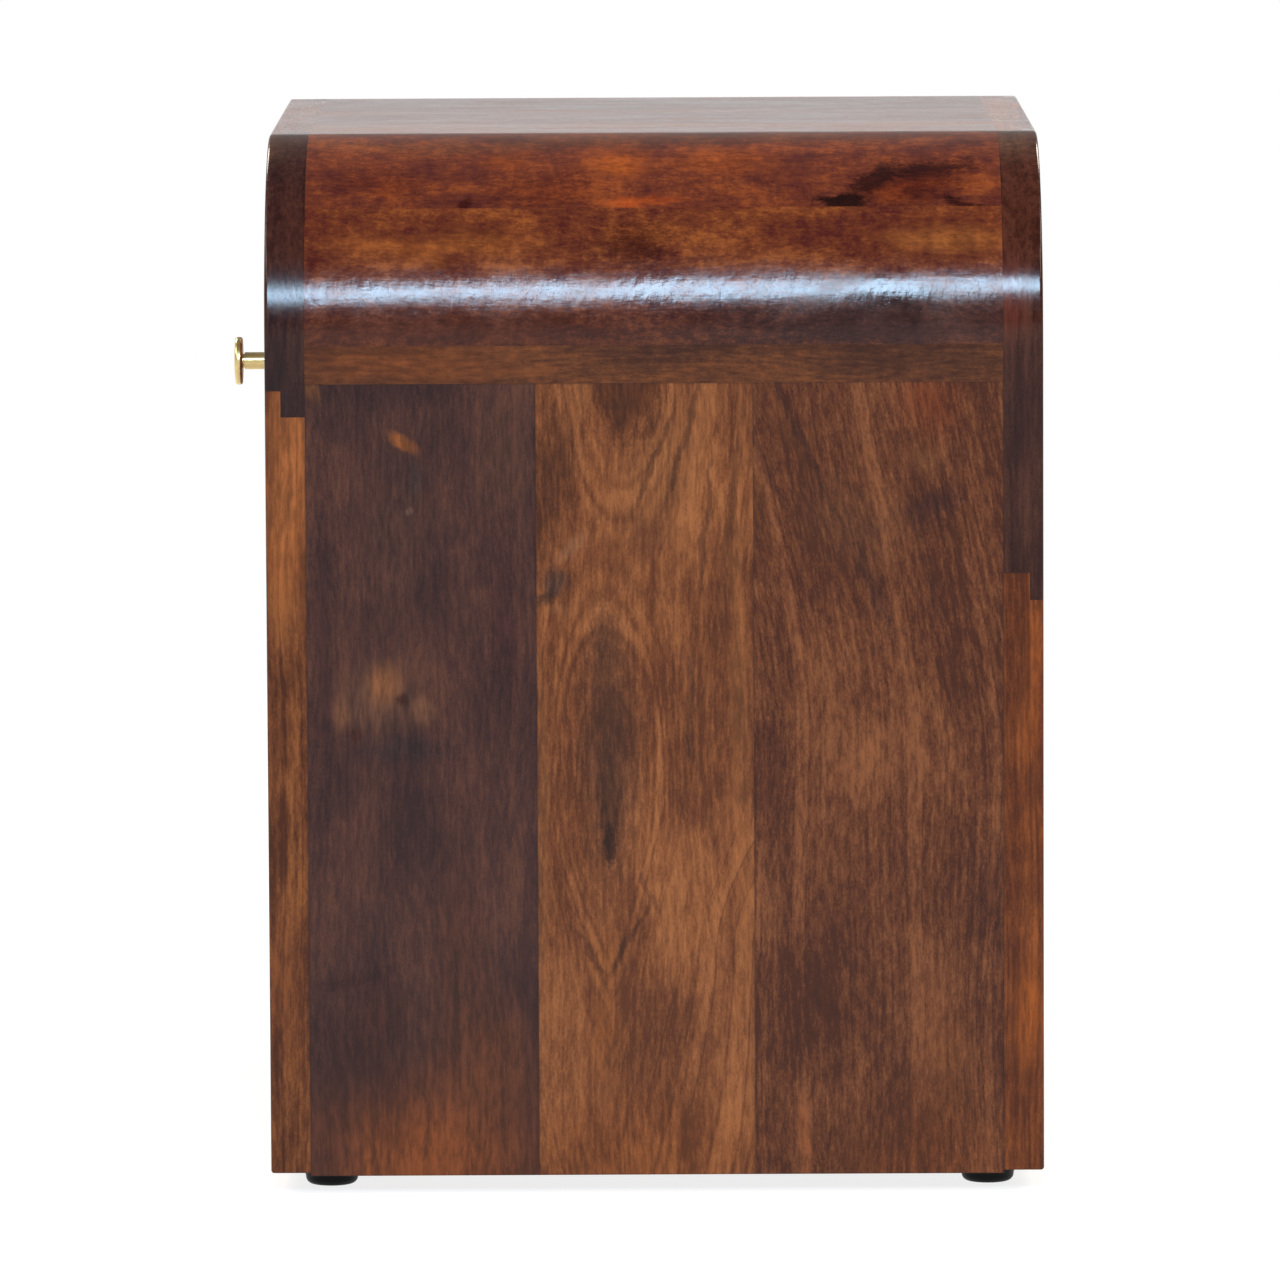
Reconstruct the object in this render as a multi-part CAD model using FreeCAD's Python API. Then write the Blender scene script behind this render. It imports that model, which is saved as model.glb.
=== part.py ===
import FreeCAD, Part
import math
import os

# A wooden nightstand with rounded shoulders, one drawer under its top and an open compartment below.
# Sizes are in millimetres. X is the width, -Y is the front and +Z is up.
# The origin is on the floor, below the middle of the whole object's box, the knob included.

# Case
overall_height = 500.0
case_width = 480.0
case_depth = 368.5
shoulder_radius = 95.0
board_thickness = 20.0
front_board_width = 109.0
middle_board_width = 103.0
shoulder_strip_height = 18.0
stave_seam_angle = 42.0
middle_top_board_width = 98.0

# Front frame: the first half of each corner joint is at the frame's front, the second behind it
front_frame_depth = 19.0
front_frame_face = 22.0
front_tongue_depth = 7.5
front_corner_leg = 21.0
front_tongue_length = 12.5

# Back frame
back_frame_depth = 19.0
back_frame_face = 34.0
back_tongue_depth = 6.5
back_corner_leg = 109.0
back_tongue_length = 13.0

# Both frames
corner_top_run = 14.0
frame_lift = 1.5
frame_edge_round = 1.5

# Bottom, shelf and back
bottom_thickness = 18.0
compartment_height = 235.5
shelf_thickness = 18.0
back_panel_thickness = 6.0

# Feet
foot_height = 8.5
foot_top_diameter = 27.0
foot_shoulder_diameter = 25.0
foot_shoulder_height = 3.5
foot_floor_diameter = 18.0
foot_side_inset = 20.0
foot_front_inset = 14.5
foot_back_inset = 12.5
foot_recess_diameter = 9.0
foot_recess_depth = 2.5

# Drawer
drawer_gap = 1.5
drawer_front_thickness = 18.0
drawer_front_setback = 1.0
drawer_edge_round = 1.2
drawer_rear_gap = 28.0
drawer_side_thickness = 14.0
drawer_side_rise = 10.0
drawer_side_clearance = 8.0
drawer_underside_gap = 5.0
drawer_back_thickness = 13.0
drawer_back_drop = 8.0
drawer_side_housing = 8.0
drawer_back_housing = 4.0
drawer_bottom_thickness = 6.0
drawer_bottom_rise = 9.0
drawer_bottom_groove = 6.0

# Drawer runners and stops
runner_height = 14.0
runner_groove_depth = 6.5
runner_clearance = 0.3
runner_front_gap = 3.0
runner_back_gap = 4.0
stop_width = 38.0
stop_depth = 14.0
stop_height = 16.0
stop_clearance = 0.3

# Knob
knob_projection = 23.6
knob_head_diameter = 23.6
knob_head_thickness = 4.2
knob_head_dome = 0.8
knob_rim_round = 1.2
knob_stem_diameter = 8.5
knob_neck_diameter = 7.0
knob_neck_length = 1.0
knob_thread_depth = 10.0

# Knob screw and washer
machine_screw_diameter = 4.0
machine_screw_head_diameter = 8.0
machine_screw_head_height = 2.6
machine_screw_end_gap = 1.0
machine_screw_hole_diameter = 4.6
washer_diameter = 12.0
washer_thickness = 1.0

# Wood screws
wood_screw_diameter = 3.5
wood_screw_head_diameter = 7.0
wood_screw_head_height = 2.4
wood_screw_tip_length = 3.0
screw_slot_width = 0.9
screw_slot_depth = 0.8
runner_screw_length = 28.0
foot_screw_length = 17.0
drawer_bottom_screw_length = 18.0

# Dowels and pins
dowel_diameter = 8.0
shelf_dowel_length = 30.0
shelf_dowel_wall_depth = 12.0
frame_dowel_length = 22.0
rail_dowel_diameter = 6.0
rail_dowel_length = 24.0
pin_diameter = 1.6
pin_length = 15.0

# Places along the length that each row of fasteners follows
runner_screw_shares = (0.08, 0.5, 0.92)
shelf_dowel_shares = (0.16, 0.5, 0.84)
frame_dowel_shares = (0.12, 0.42, 0.72)
pin_height_shares = (0.04, 0.28, 0.52, 0.76)
pin_width_shares = (-0.3, 0.3)
drawer_bottom_screw_shares = (-0.4, 0.0, 0.4)
top_dowel_share = 0.62

# Cuts run this far past the faces that they leave through, and places this near are one place
overrun = 20.0
tolerance = 0.001

quarter_turn = 90.0
eighth_turn = 45.0

V = FreeCAD.Vector
X_AXIS = V(1, 0, 0)
Y_AXIS = V(0, 1, 0)
Z_AXIS = V(0, 0, 1)

# Planes that the pieces share
overall_depth = case_depth + knob_projection
front_y = knob_projection - overall_depth / 2
back_y = front_y + case_depth
boards_front_y = front_y + front_frame_depth
boards_back_y = back_y - back_frame_depth
panel_front_y = boards_back_y - back_panel_thickness
half_width = case_width / 2
inside_half_width = half_width - board_thickness
bend_x = half_width - shoulder_radius
bend_z = overall_height - shoulder_radius
boards_bottom_z = foot_height
boards_top_z = bend_z - shoulder_strip_height
frame_bottom_z = foot_height + frame_lift
compartment_bottom_z = boards_bottom_z + bottom_thickness
shelf_bottom_z = compartment_bottom_z + compartment_height
shelf_top_z = shelf_bottom_z + shelf_thickness
opening_half_width = half_width - front_frame_face
opening_top_z = overall_height - front_frame_face
opening_radius = shoulder_radius - front_frame_face

# Planes of the drawer
drawer_face_y = front_y + drawer_front_setback
drawer_box_y = drawer_face_y + drawer_front_thickness
drawer_back_y = panel_front_y - drawer_rear_gap
drawer_outer_x = inside_half_width - drawer_side_clearance
drawer_inner_x = drawer_outer_x - drawer_side_thickness
drawer_bottom_z = shelf_top_z + drawer_underside_gap
drawer_top_z = bend_z + drawer_side_rise
drawer_panel_z = drawer_bottom_z + drawer_bottom_rise
drawer_floor_z = drawer_panel_z + drawer_bottom_thickness
drawer_front_bottom_z = shelf_top_z + drawer_gap
drawer_front_top_z = opening_top_z - drawer_gap
knob_z = (drawer_front_bottom_z + drawer_front_top_z) / 2
runner_z = (drawer_bottom_z + drawer_top_z) / 2
runner_inner_x = drawer_outer_x - runner_groove_depth + runner_clearance
runner_front_y = drawer_box_y + runner_front_gap
runner_back_y = panel_front_y - runner_back_gap


def box(x_low, x_high, y_low, y_high, z_low, z_high):
    return Part.makeBox(x_high - x_low, y_high - y_low, z_high - z_low, V(x_low, y_low, z_low))


def centred_box(half, y_low, y_high, z_low, z_high):
    return box(-half, half, y_low, y_high, z_low, z_high)


def cylinder(radius, length, start, direction):
    return Part.makeCylinder(radius, length, start, direction)


def between(low, high, share):
    return low + (high - low) * share


def mirrored(shape):
    return shape.mirror(V(0, 0, 0), X_AXIS)


def both_sides(shape):
    return {"right": shape, "left": mirrored(shape)}


def arch(half, radius, z_low, z_high, y_low, y_high):
    """A slab with straight sides, rounded upper corners and a flat top."""
    corner_x = half - radius
    corner_z = z_high - radius
    lean = radius * math.sin(math.radians(eighth_turn))

    def at(x, z):
        return V(x, y_low, z)

    outline = [
        Part.LineSegment(at(-half, z_low), at(half, z_low)),
        Part.LineSegment(at(half, z_low), at(half, corner_z)),
        Part.Arc(at(half, corner_z), at(corner_x + lean, corner_z + lean), at(corner_x, z_high)),
        Part.LineSegment(at(corner_x, z_high), at(-corner_x, z_high)),
        Part.Arc(at(-corner_x, z_high), at(-corner_x - lean, corner_z + lean), at(-half, corner_z)),
        Part.LineSegment(at(-half, corner_z), at(-half, z_low)),
    ]
    wire = Part.Wire([line.toShape() for line in outline])
    return Part.Face(wire).extrude(V(0, y_high - y_low, 0))


def rounded_at(shape, y, radius):
    """The shape with every edge that lies in the plane at y rounded."""
    edges = []
    for edge in shape.Edges:
        if all(math.isclose(vertex.Y, y, abs_tol=tolerance) for vertex in edge.Vertexes):
            edges.append(edge)
    return shape.makeFillet(radius, edges)


def side_boards():
    """Three upright boards, glued edge to edge, with a narrow strip lying across their tops."""
    middle_y = boards_front_y + front_board_width
    rear_y = middle_y + middle_board_width
    edges = {
        "front": (boards_front_y, middle_y),
        "middle": (middle_y, rear_y),
        "rear": (rear_y, boards_back_y),
    }
    pieces = {}
    for place, (y_low, y_high) in edges.items():
        board = box(inside_half_width, half_width, y_low, y_high, boards_bottom_z, boards_top_z)
        for side, shape in both_sides(board).items():
            pieces[f"{side}_side_board_{place}"] = shape
    strip = box(inside_half_width, half_width, boards_front_y, boards_back_y, boards_top_z, bend_z)
    for side, shape in both_sides(strip).items():
        pieces[f"{side}_shoulder_strip"] = shape
    return pieces


def wedge(low_angle, high_angle):
    """A prism from the bend's axis outward, between two angles up from the side."""
    reach = shoulder_radius * 2
    axis = V(bend_x, boards_front_y, bend_z)
    points = [axis]
    for angle in (low_angle, high_angle):
        turn = math.radians(angle)
        points.append(axis + V(reach * math.cos(turn), 0, reach * math.sin(turn)))
    outline = Part.makePolygon(points + points[:1])
    return Part.Face(outline).extrude(V(0, boards_back_y - boards_front_y, 0))


def shoulder_staves():
    """Two curved staves make each rounded shoulder."""
    low_z = bend_z - overrun
    outer = arch(half_width, shoulder_radius, low_z, overall_height, boards_front_y, boards_back_y)
    inner_radius = shoulder_radius - board_thickness
    inner_top = overall_height - board_thickness
    inner = arch(inside_half_width, inner_radius, low_z, inner_top, boards_front_y, boards_back_y)
    shell = outer.cut(inner)
    angles = {"lower": (0, stave_seam_angle), "upper": (stave_seam_angle, quarter_turn)}
    pieces = {}
    for place, (low_angle, high_angle) in angles.items():
        stave = shell.common(wedge(low_angle, high_angle))
        for side, shape in both_sides(stave).items():
            pieces[f"{side}_shoulder_{place}_stave"] = shape
    return pieces


def top_boards():
    """The flat of the top: three boards whose grain runs from front to back."""
    underside_z = overall_height - board_thickness
    seam_x = middle_top_board_width / 2
    edges = {"left": (-bend_x, -seam_x), "middle": (-seam_x, seam_x), "right": (seam_x, bend_x)}
    pieces = {}
    for place, (x_low, x_high) in edges.items():
        board = box(x_low, x_high, boards_front_y, boards_back_y, underside_z, overall_height)
        pieces[f"top_board_{place}"] = board
    return pieces


def corner_region(y_split, y_start, y_end, start_reach, end_reach):
    """The right-hand upper corner of a frame, as two layers that end at different places.

    A reach is how far the corner piece runs down its leg, past the bend.
    """
    layers = []
    longest = max(start_reach, end_reach)
    for y_low, y_high, reach in ((y_start, y_split, start_reach), (y_split, y_end, end_reach)):
        x_low = bend_x - corner_top_run + longest - reach
        x_high = half_width + overrun
        layers.append(box(x_low, x_high, y_low, y_high, bend_z - reach, overall_height + overrun))
    return layers[0].fuse(layers[1])


def split_frame(whole, region, prefix, face):
    """Cuts a whole frame into its corners, legs and top rail."""
    inner_x = half_width - face
    y_low = front_y - overrun
    y_high = back_y + overrun
    pieces = {}
    for side, shape in both_sides(region).items():
        pieces[f"{prefix}_{side}_corner"] = whole.common(shape)
        whole = whole.cut(shape)
    leg_side = box(inner_x, half_width + overrun, y_low, y_high, 0, bend_z)
    for side, shape in both_sides(leg_side).items():
        pieces[f"{prefix}_{side}_leg"] = whole.common(shape)
    above = centred_box(bend_x, y_low, y_high, overall_height - face, overall_height + overrun)
    pieces[f"{prefix}_top_rail"] = whole.common(above)
    return pieces, whole


def front_frame():
    """The arched frame round the front, with a rail in front of the shelf and one at the bottom."""
    y_low = front_y - overrun
    y_high = boards_front_y + overrun
    rails = {
        "front_frame_shelf_rail": (shelf_bottom_z, shelf_top_z),
        "front_frame_bottom_rail": (frame_bottom_z, compartment_bottom_z),
    }
    whole = arch(
        half_width,
        shoulder_radius,
        frame_bottom_z,
        overall_height,
        front_y,
        boards_front_y,
    )
    opening = arch(
        opening_half_width,
        opening_radius,
        frame_bottom_z - overrun,
        opening_top_z,
        y_low,
        y_high,
    )
    whole = whole.cut(opening)
    for z_low, z_high in rails.values():
        whole = whole.fuse(centred_box(opening_half_width, front_y, boards_front_y, z_low, z_high))
    whole = rounded_at(whole.removeSplitter(), front_y, frame_edge_round)
    region = corner_region(
        front_y + front_tongue_depth,
        y_low,
        y_high,
        front_corner_leg,
        front_corner_leg + front_tongue_length,
    )
    pieces, rest = split_frame(whole, region, "front_frame", front_frame_face)
    for name, (z_low, z_high) in rails.items():
        pieces[name] = rest.common(centred_box(opening_half_width, y_low, y_high, z_low, z_high))
    return pieces


def back_frame():
    """The arched frame round the back, wider than the front one because it holds the back panel."""
    inner_x = half_width - back_frame_face
    rail_top_z = frame_bottom_z + back_frame_face
    y_low = boards_back_y - overrun
    y_high = back_y + overrun
    whole = arch(
        half_width,
        shoulder_radius,
        frame_bottom_z,
        overall_height,
        boards_back_y,
        back_y,
    )
    opening = arch(
        inner_x,
        shoulder_radius - back_frame_face,
        rail_top_z,
        overall_height - back_frame_face,
        y_low,
        y_high,
    )
    whole = rounded_at(whole.cut(opening), back_y, frame_edge_round)
    region = corner_region(
        back_y - back_tongue_depth,
        y_low,
        y_high,
        back_corner_leg,
        back_corner_leg + back_tongue_length,
    )
    pieces, rest = split_frame(whole, region, "back_frame", back_frame_face)
    pieces["back_frame_bottom_rail"] = rest.common(
        centred_box(inner_x, y_low, y_high, 0, rail_top_z)
    )
    return pieces


def panels():
    """The bottom board, the shelf under the drawer and the back panel."""
    bottom = centred_box(
        inside_half_width,
        boards_front_y,
        panel_front_y,
        boards_bottom_z,
        compartment_bottom_z,
    )
    shelf = centred_box(
        inside_half_width,
        boards_front_y,
        panel_front_y,
        shelf_bottom_z,
        shelf_top_z,
    )
    back = arch(
        inside_half_width,
        shoulder_radius - board_thickness,
        frame_bottom_z,
        overall_height - board_thickness,
        panel_front_y,
        boards_back_y,
    )
    return {"bottom_board": bottom, "divider_shelf": shelf, "back_panel": back}


def foot():
    """A low plastic disc with a tapered rim and a recess for its screw, on the Z axis."""
    top_radius = foot_top_diameter / 2
    shoulder = foot_shoulder_diameter / 2
    floor_radius = foot_floor_diameter / 2
    turn = math.radians(eighth_turn)
    low_rim = V(
        floor_radius + (shoulder - floor_radius) * math.sin(turn),
        0,
        foot_shoulder_height * (1 - math.cos(turn)),
    )
    outline = [
        Part.LineSegment(V(0, 0, 0), V(floor_radius, 0, 0)),
        Part.Arc(V(floor_radius, 0, 0), low_rim, V(shoulder, 0, foot_shoulder_height)),
        Part.LineSegment(V(shoulder, 0, foot_shoulder_height), V(top_radius, 0, foot_height)),
        Part.LineSegment(V(top_radius, 0, foot_height), V(0, 0, foot_height)),
        Part.LineSegment(V(0, 0, foot_height), V(0, 0, 0)),
    ]
    disc = Part.Face(Part.Wire([line.toShape() for line in outline])).revolve(V(0, 0, 0), Z_AXIS)
    recess = cylinder(foot_recess_diameter / 2, foot_recess_depth, V(0, 0, 0), Z_AXIS)
    return disc.cut(recess)


def foot_places():
    x = half_width - foot_side_inset - foot_top_diameter / 2
    front = front_y + foot_front_inset + foot_top_diameter / 2
    back = back_y - foot_back_inset - foot_top_diameter / 2
    return {
        "front_right_foot": V(x, front, 0),
        "front_left_foot": V(-x, front, 0),
        "back_right_foot": V(x, back, 0),
        "back_left_foot": V(-x, back, 0),
    }


def feet():
    pieces = {}
    for name, place in foot_places().items():
        pieces[name] = foot().translated(place)
    return pieces


def plain_screw(length, head_place, direction):
    """A countersunk screw with no slot: head_place is its head's flat, direction leads to its point."""
    radius = wood_screw_diameter / 2
    head = Part.makeCone(wood_screw_head_diameter / 2, radius, wood_screw_head_height)
    shank_length = length - wood_screw_head_height - wood_screw_tip_length
    shank = cylinder(radius, shank_length, V(0, 0, wood_screw_head_height), Z_AXIS)
    tip = Part.makeCone(radius, 0, wood_screw_tip_length)
    tip.translate(V(0, 0, length - wood_screw_tip_length))
    solid = head.fuse([shank, tip]).removeSplitter()
    solid.Placement = FreeCAD.Placement(head_place, FreeCAD.Rotation(Z_AXIS, direction))
    return solid


def slotted_screw(length, head_place, direction):
    """The same screw with a crossed slot in its head."""
    arm = wood_screw_head_diameter / 4
    half_slot = screw_slot_width / 2
    slots = [
        box(-arm, arm, -half_slot, half_slot, 0, screw_slot_depth),
        box(-half_slot, half_slot, -arm, arm, 0, screw_slot_depth),
    ]
    stand = FreeCAD.Placement(head_place, FreeCAD.Rotation(Z_AXIS, direction))
    for slot in slots:
        slot.Placement = stand * slot.Placement
    return plain_screw(length, head_place, direction).cut(slots)


def foot_screws(make_screw):
    screws = []
    for place in foot_places().values():
        screws.append(make_screw(foot_screw_length, place + V(0, 0, foot_recess_depth), Z_AXIS))
    return screws


def runners():
    """A hardwood strip on each side wall, which the groove in the drawer's side slides along."""
    half_height = runner_height / 2
    runner = box(
        runner_inner_x,
        inside_half_width,
        runner_front_y,
        runner_back_y,
        runner_z - half_height,
        runner_z + half_height,
    )
    return {f"{side}_drawer_runner": shape for side, shape in both_sides(runner).items()}


def runner_screws(make_screw):
    screws = []
    for share in runner_screw_shares:
        place = V(runner_inner_x, between(runner_front_y, runner_back_y, share), runner_z)
        screw = make_screw(runner_screw_length, place, X_AXIS)
        screws += [screw, mirrored(screw)]
    return screws


def stops():
    """Two blocks on the shelf, behind the drawer's sides, that the shut drawer meets."""
    start_y = drawer_back_y + stop_clearance
    block = box(
        drawer_outer_x - stop_width,
        drawer_outer_x,
        start_y,
        start_y + stop_depth,
        shelf_top_z,
        shelf_top_z + stop_height,
    )
    return [block, mirrored(block)]


def drawer_front():
    """An inset front whose upper corners follow the frame, grooved behind for sides and bottom."""
    face = arch(
        opening_half_width - drawer_gap,
        opening_radius - drawer_gap,
        drawer_front_bottom_z,
        drawer_front_top_z,
        drawer_face_y,
        drawer_box_y,
    )
    face = rounded_at(face, drawer_face_y, drawer_edge_round)
    housing = box(
        drawer_inner_x,
        drawer_outer_x,
        drawer_box_y - drawer_side_housing,
        drawer_box_y,
        drawer_bottom_z,
        drawer_top_z,
    )
    groove = centred_box(
        drawer_inner_x,
        drawer_box_y - drawer_bottom_groove,
        drawer_box_y,
        drawer_panel_z,
        drawer_floor_z,
    )
    hole = cylinder(
        machine_screw_hole_diameter / 2,
        drawer_front_thickness,
        V(0, drawer_face_y, knob_z),
        Y_AXIS,
    )
    return face.cut([housing, mirrored(housing), groove, hole])


def drawer_side():
    """The right-hand drawer side: a groove outside for the runner, one inside for the bottom."""
    side = box(
        drawer_inner_x,
        drawer_outer_x,
        drawer_box_y - drawer_side_housing,
        drawer_back_y,
        drawer_bottom_z,
        drawer_top_z,
    )
    half_groove = runner_height / 2 + runner_clearance
    runner_groove = box(
        drawer_outer_x - runner_groove_depth,
        drawer_outer_x,
        drawer_box_y,
        drawer_back_y,
        runner_z - half_groove,
        runner_z + half_groove,
    )
    bottom_groove = box(
        drawer_inner_x,
        drawer_inner_x + drawer_bottom_groove,
        drawer_box_y - drawer_bottom_groove,
        drawer_back_y,
        drawer_panel_z,
        drawer_floor_z,
    )
    back_housing = box(
        drawer_inner_x,
        drawer_inner_x + drawer_back_housing,
        drawer_back_y - drawer_back_thickness,
        drawer_back_y,
        drawer_floor_z,
        drawer_top_z - drawer_back_drop,
    )
    return side.cut([runner_groove, bottom_groove, back_housing])


def drawer_back():
    return centred_box(
        drawer_inner_x + drawer_back_housing,
        drawer_back_y - drawer_back_thickness,
        drawer_back_y,
        drawer_floor_z,
        drawer_top_z - drawer_back_drop,
    )


def drawer_bottom():
    return centred_box(
        drawer_inner_x + drawer_bottom_groove,
        drawer_box_y - drawer_bottom_groove,
        drawer_back_y,
        drawer_panel_z,
        drawer_floor_z,
    )


def drawer_bottom_screws(make_screw):
    """Screws up through the bottom's rear edge into the drawer's back."""
    y = drawer_back_y - drawer_back_thickness / 2
    screws = []
    for share in drawer_bottom_screw_shares:
        place = V(drawer_inner_x * 2 * share, y, drawer_panel_z)
        screws.append(make_screw(drawer_bottom_screw_length, place, Z_AXIS))
    return screws


def knob():
    """A turned knob: a thin domed disc on a straight stem, with a narrower neck between them."""
    stem = knob_stem_diameter / 2
    neck = knob_neck_diameter / 2
    head = knob_head_diameter / 2
    length = knob_projection + drawer_front_setback
    head_start = length - knob_head_thickness
    rim_end = length - knob_head_dome
    corners = [
        V(0, 0, 0),
        V(stem, 0, 0),
        V(stem, -(head_start - knob_neck_length), 0),
        V(neck, -(head_start - knob_neck_length), 0),
        V(neck, -head_start, 0),
        V(head, -head_start, 0),
        V(head, -rim_end, 0),
    ]
    edges = []
    for start, end in zip(corners, corners[1:]):
        edges.append(Part.LineSegment(start, end).toShape())
    dome_radius = (head**2 + knob_head_dome**2) / (2 * knob_head_dome)
    dome_rise = math.sqrt(dome_radius**2 - (head / 2) ** 2) - dome_radius
    half_way = V(head / 2, -(length + dome_rise), 0)
    edges.append(Part.Arc(corners[-1], half_way, V(0, -length, 0)).toShape())
    edges.append(Part.LineSegment(V(0, -length, 0), corners[0]).toShape())
    turned = Part.Face(Part.Wire(edges)).revolve(V(0, 0, 0), Y_AXIS)
    rims = []
    for edge in turned.Edges:
        radius = math.hypot(edge.Vertexes[0].X, edge.Vertexes[0].Z)
        if edge.isClosed() and math.isclose(radius, head, abs_tol=tolerance):
            rims.append(edge)
    turned = turned.makeFillet(knob_rim_round, rims)
    thread = cylinder(machine_screw_diameter / 2, knob_thread_depth, V(0, 0, 0), -Y_AXIS)
    return turned.cut(thread).translated(V(0, drawer_face_y, knob_z))


def knob_screw():
    """A pan-headed machine screw from inside the drawer, through its front and into the knob."""
    length = washer_thickness + drawer_front_thickness + knob_thread_depth - machine_screw_end_gap
    start = V(0, drawer_box_y + washer_thickness, knob_z)
    shank = cylinder(machine_screw_diameter / 2, length, start, -Y_AXIS)
    head = cylinder(machine_screw_head_diameter / 2, machine_screw_head_height, start, Y_AXIS)
    arm = machine_screw_head_diameter / 4
    half_slot = screw_slot_width / 2
    top_y = start.y + machine_screw_head_height
    slots = [
        box(-arm, arm, top_y - screw_slot_depth, top_y, knob_z - half_slot, knob_z + half_slot),
        box(-half_slot, half_slot, top_y - screw_slot_depth, top_y, knob_z - arm, knob_z + arm),
    ]
    return shank.fuse(head).removeSplitter().cut(slots)


def knob_washer():
    start = V(0, drawer_box_y, knob_z)
    disc = cylinder(washer_diameter / 2, washer_thickness, start, Y_AXIS)
    hole = cylinder(machine_screw_diameter / 2, washer_thickness, start, Y_AXIS)
    return disc.cut(hole)


def board_dowels(z):
    """Dowels that join a level board to both side walls, in a row from front to back."""
    dowels = []
    for share in shelf_dowel_shares:
        start = V(
            inside_half_width + shelf_dowel_wall_depth,
            between(boards_front_y, panel_front_y, share),
            z,
        )
        dowel = cylinder(dowel_diameter / 2, shelf_dowel_length, start, -X_AXIS)
        dowels += [dowel, mirrored(dowel)]
    return dowels


def frame_dowels(joint_y):
    """Dowels across the joint between a frame and the boards, half way through the boards."""
    middle_x = half_width - board_thickness / 2
    middle_z = overall_height - board_thickness / 2
    start_y = joint_y - frame_dowel_length / 2
    dowels = []
    for share in frame_dowel_shares:
        start = V(middle_x, start_y, between(boards_bottom_z, bend_z, share))
        dowel = cylinder(dowel_diameter / 2, frame_dowel_length, start, Y_AXIS)
        dowels += [dowel, mirrored(dowel)]
    for x in (-bend_x * top_dowel_share, 0, bend_x * top_dowel_share):
        start = V(x, start_y, middle_z)
        dowels.append(cylinder(dowel_diameter / 2, frame_dowel_length, start, Y_AXIS))
    return dowels


def rail_dowels():
    """Dowels that join the rails' ends to the legs."""
    front_middle_y = (front_y + boards_front_y) / 2
    back_middle_y = (back_y + boards_back_y) / 2
    places = [
        V(opening_half_width, front_middle_y, (shelf_bottom_z + shelf_top_z) / 2),
        V(opening_half_width, front_middle_y, (frame_bottom_z + compartment_bottom_z) / 2),
        V(half_width - back_frame_face, back_middle_y, frame_bottom_z + back_frame_face / 2),
    ]
    dowels = []
    for joint in places:
        start = joint - V(rail_dowel_length / 2, 0, 0)
        dowel = cylinder(rail_dowel_diameter / 2, rail_dowel_length, start, X_AXIS)
        dowels += [dowel, mirrored(dowel)]
    return dowels


def back_panel_pins():
    """Pins through the back panel into the back frame, up both legs and along both rails."""
    lap = back_frame_face - board_thickness
    side_x = inside_half_width - lap / 2
    pins = []
    for share in pin_height_shares:
        place = V(side_x, panel_front_y, between(frame_bottom_z + back_frame_face, bend_z, share))
        pin = cylinder(pin_diameter / 2, pin_length, place, Y_AXIS)
        pins += [pin, mirrored(pin)]
    top_z = overall_height - board_thickness - lap / 2
    bottom_z = frame_bottom_z + back_frame_face / 2
    for share in pin_width_shares:
        for z in (top_z, bottom_z):
            place = V(bend_x * 2 * share, panel_front_y, z)
            pins.append(cylinder(pin_diameter / 2, pin_length, place, Y_AXIS))
    return pins


def fastener_groups(make_screw):
    bottom_middle_z = (boards_bottom_z + compartment_bottom_z) / 2
    shelf_middle_z = (shelf_bottom_z + shelf_top_z) / 2
    return {
        "foot_screws": foot_screws(make_screw),
        "runner_screws": runner_screws(make_screw),
        "bottom_board_dowels": board_dowels(bottom_middle_z),
        "shelf_dowels": board_dowels(shelf_middle_z),
        "front_frame_dowels": frame_dowels(boards_front_y),
        "back_frame_dowels": frame_dowels(boards_back_y),
        "rail_dowels": rail_dowels(),
        "back_panel_pins": back_panel_pins(),
        "drawer_bottom_screws": drawer_bottom_screws(make_screw),
    }


def all_pieces():
    pieces = {}
    boards = (side_boards(), shoulder_staves(), top_boards(), panels())
    for group in boards + (front_frame(), back_frame(), feet(), runners()):
        pieces.update(group)
    pieces["drawer_stops"] = Part.makeCompound(stops())
    pieces["drawer_front"] = drawer_front()
    for side, shape in both_sides(drawer_side()).items():
        pieces[f"{side}_drawer_side"] = shape
    pieces["drawer_back"] = drawer_back()
    pieces["drawer_bottom"] = drawer_bottom()
    hole_makers = sum(fastener_groups(plain_screw).values(), [])
    for name, shape in pieces.items():
        holes = [solid for solid in hole_makers if solid.BoundBox.intersect(shape.BoundBox)]
        if holes:
            pieces[name] = shape.cut(holes)
    pieces["knob"] = knob()
    pieces["knob_screw"] = knob_screw()
    pieces["knob_washer"] = knob_washer()
    for name, group in fastener_groups(slotted_screw).items():
        pieces[name] = Part.makeCompound(group)
    return pieces


def main():
    os.makedirs("parts", exist_ok=True)
    for name, shape in all_pieces().items():
        shape.exportStep(f"parts/{name}.step")
        print(name, len(shape.Solids), "solids,", round(shape.Volume), "mm3, valid", shape.isValid())


main()
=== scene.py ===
import math
from types import SimpleNamespace

import bpy
from mathutils import Matrix, Vector


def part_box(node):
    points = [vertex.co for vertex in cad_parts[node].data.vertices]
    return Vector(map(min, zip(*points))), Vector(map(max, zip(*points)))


# The looks of a wooden nightstand: stained and lacquered boards, a brass knob and black feet.
# Lengths in the tables are in millimetres, colours are screen values from 0 to 255.

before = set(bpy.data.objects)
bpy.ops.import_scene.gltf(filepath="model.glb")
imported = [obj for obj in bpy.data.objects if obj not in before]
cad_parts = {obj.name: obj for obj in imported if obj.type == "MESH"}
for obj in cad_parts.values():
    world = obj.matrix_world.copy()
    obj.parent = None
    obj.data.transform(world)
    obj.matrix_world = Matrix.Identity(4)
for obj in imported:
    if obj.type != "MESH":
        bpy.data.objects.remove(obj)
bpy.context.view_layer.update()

X, Y, Z = 0, 1, 2
thousandth = 0.001

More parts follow.
